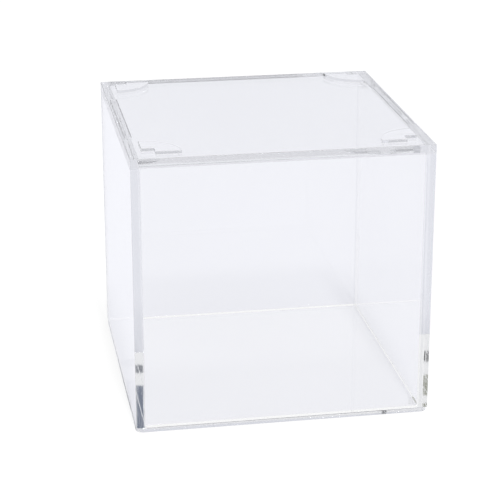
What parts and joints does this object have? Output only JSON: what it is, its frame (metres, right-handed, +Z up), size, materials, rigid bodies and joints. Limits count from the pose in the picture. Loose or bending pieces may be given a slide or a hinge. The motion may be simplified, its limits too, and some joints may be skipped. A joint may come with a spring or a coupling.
{
  "type": "acrylic display cube",
  "caption": "Clear square display cover with tabbed top, corner stacking pads and a thin lift-off base plate.",
  "frame": {"origin": "centre of the footprint, on the surface that the cube stands on", "axes": "+Z up, -Y towards the front, +X to the right as seen from the front"},
  "size_m": [0.102, 0.102, 0.098],
  "materials": {
    "base_sheet": "thin clear acrylic sheet, polished edges",
    "top_sheet": "clear cast acrylic sheet, polished edges",
    "front_sheet": "clear cast acrylic sheet, polished edges",
    "rear_sheet": "clear cast acrylic sheet, polished edges",
    "side_sheet": "clear cast acrylic sheet, polished edges",
    "pad_sheet": "thin clear acrylic, cut edges"
  },
  "bodies": {
    "base": {"base_plate": "base_sheet"},
    "cover": {"top_panel": "top_sheet", "front_panel": "front_sheet", "rear_panel": "rear_sheet", "left_panel": "side_sheet", "right_panel": "side_sheet", "front_left_pad": "pad_sheet", "front_right_pad": "pad_sheet", "rear_right_pad": "pad_sheet", "rear_left_pad": "pad_sheet"}
  },
  "joints": [
    {"name": "cover_lift", "type": "slide", "parent": "base", "child": "cover", "axis": [0, 0, 1], "range_m": [0, 0.1]}
  ]
}
